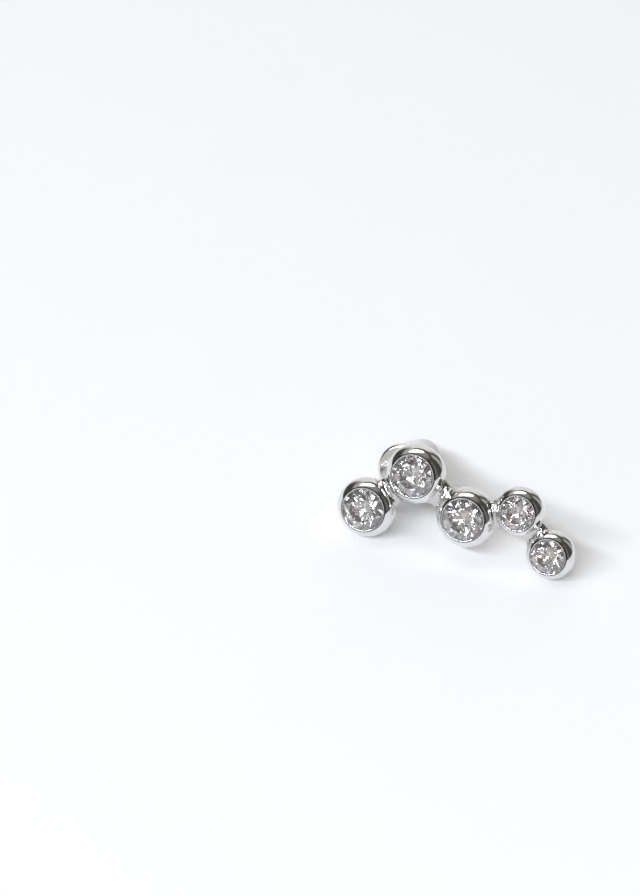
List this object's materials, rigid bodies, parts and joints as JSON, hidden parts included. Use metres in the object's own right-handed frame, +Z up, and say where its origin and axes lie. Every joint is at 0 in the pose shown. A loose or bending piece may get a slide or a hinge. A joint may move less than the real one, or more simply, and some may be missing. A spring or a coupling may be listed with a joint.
{
  "type": "cluster earring",
  "caption": "Climber stud earring: clear round stones in deep rounded metal bezels, joined in a zig-zag row, with a straight ear post and a removable bell-shaped ear nut.",
  "frame": {"origin": "on the surface the earring lies on, under the middle of its bounding box", "axes": "+X along the row from the first large stone to the last small one, -Y towards the viewer that the stones face, +Z up from the surface"},
  "size_m": [0.0222, 0.0136, 0.0089],
  "materials": {
    "setting_metal": "mirror polished, silver-coloured plating",
    "stone": "clear, cut and polished",
    "nut_metal": "mirror polished, silver-coloured plating",
    "nut_core": "soft translucent silicone, smooth"
  },
  "bodies": {
    "earring": {"setting": "setting_metal", "stone_1": "stone", "stone_2": "stone", "stone_3": "stone", "stone_4": "stone", "stone_5": "stone"},
    "ear_nut": {"nut_collar": "nut_metal", "nut_dome": "nut_core"}
  },
  "joints": [
    {"name": "nut_slide", "type": "slide", "parent": "earring", "child": "ear_nut", "axis": [0, 0.9178, -0.3971], "range_m": [-0.0016, 0.008]}
  ]
}
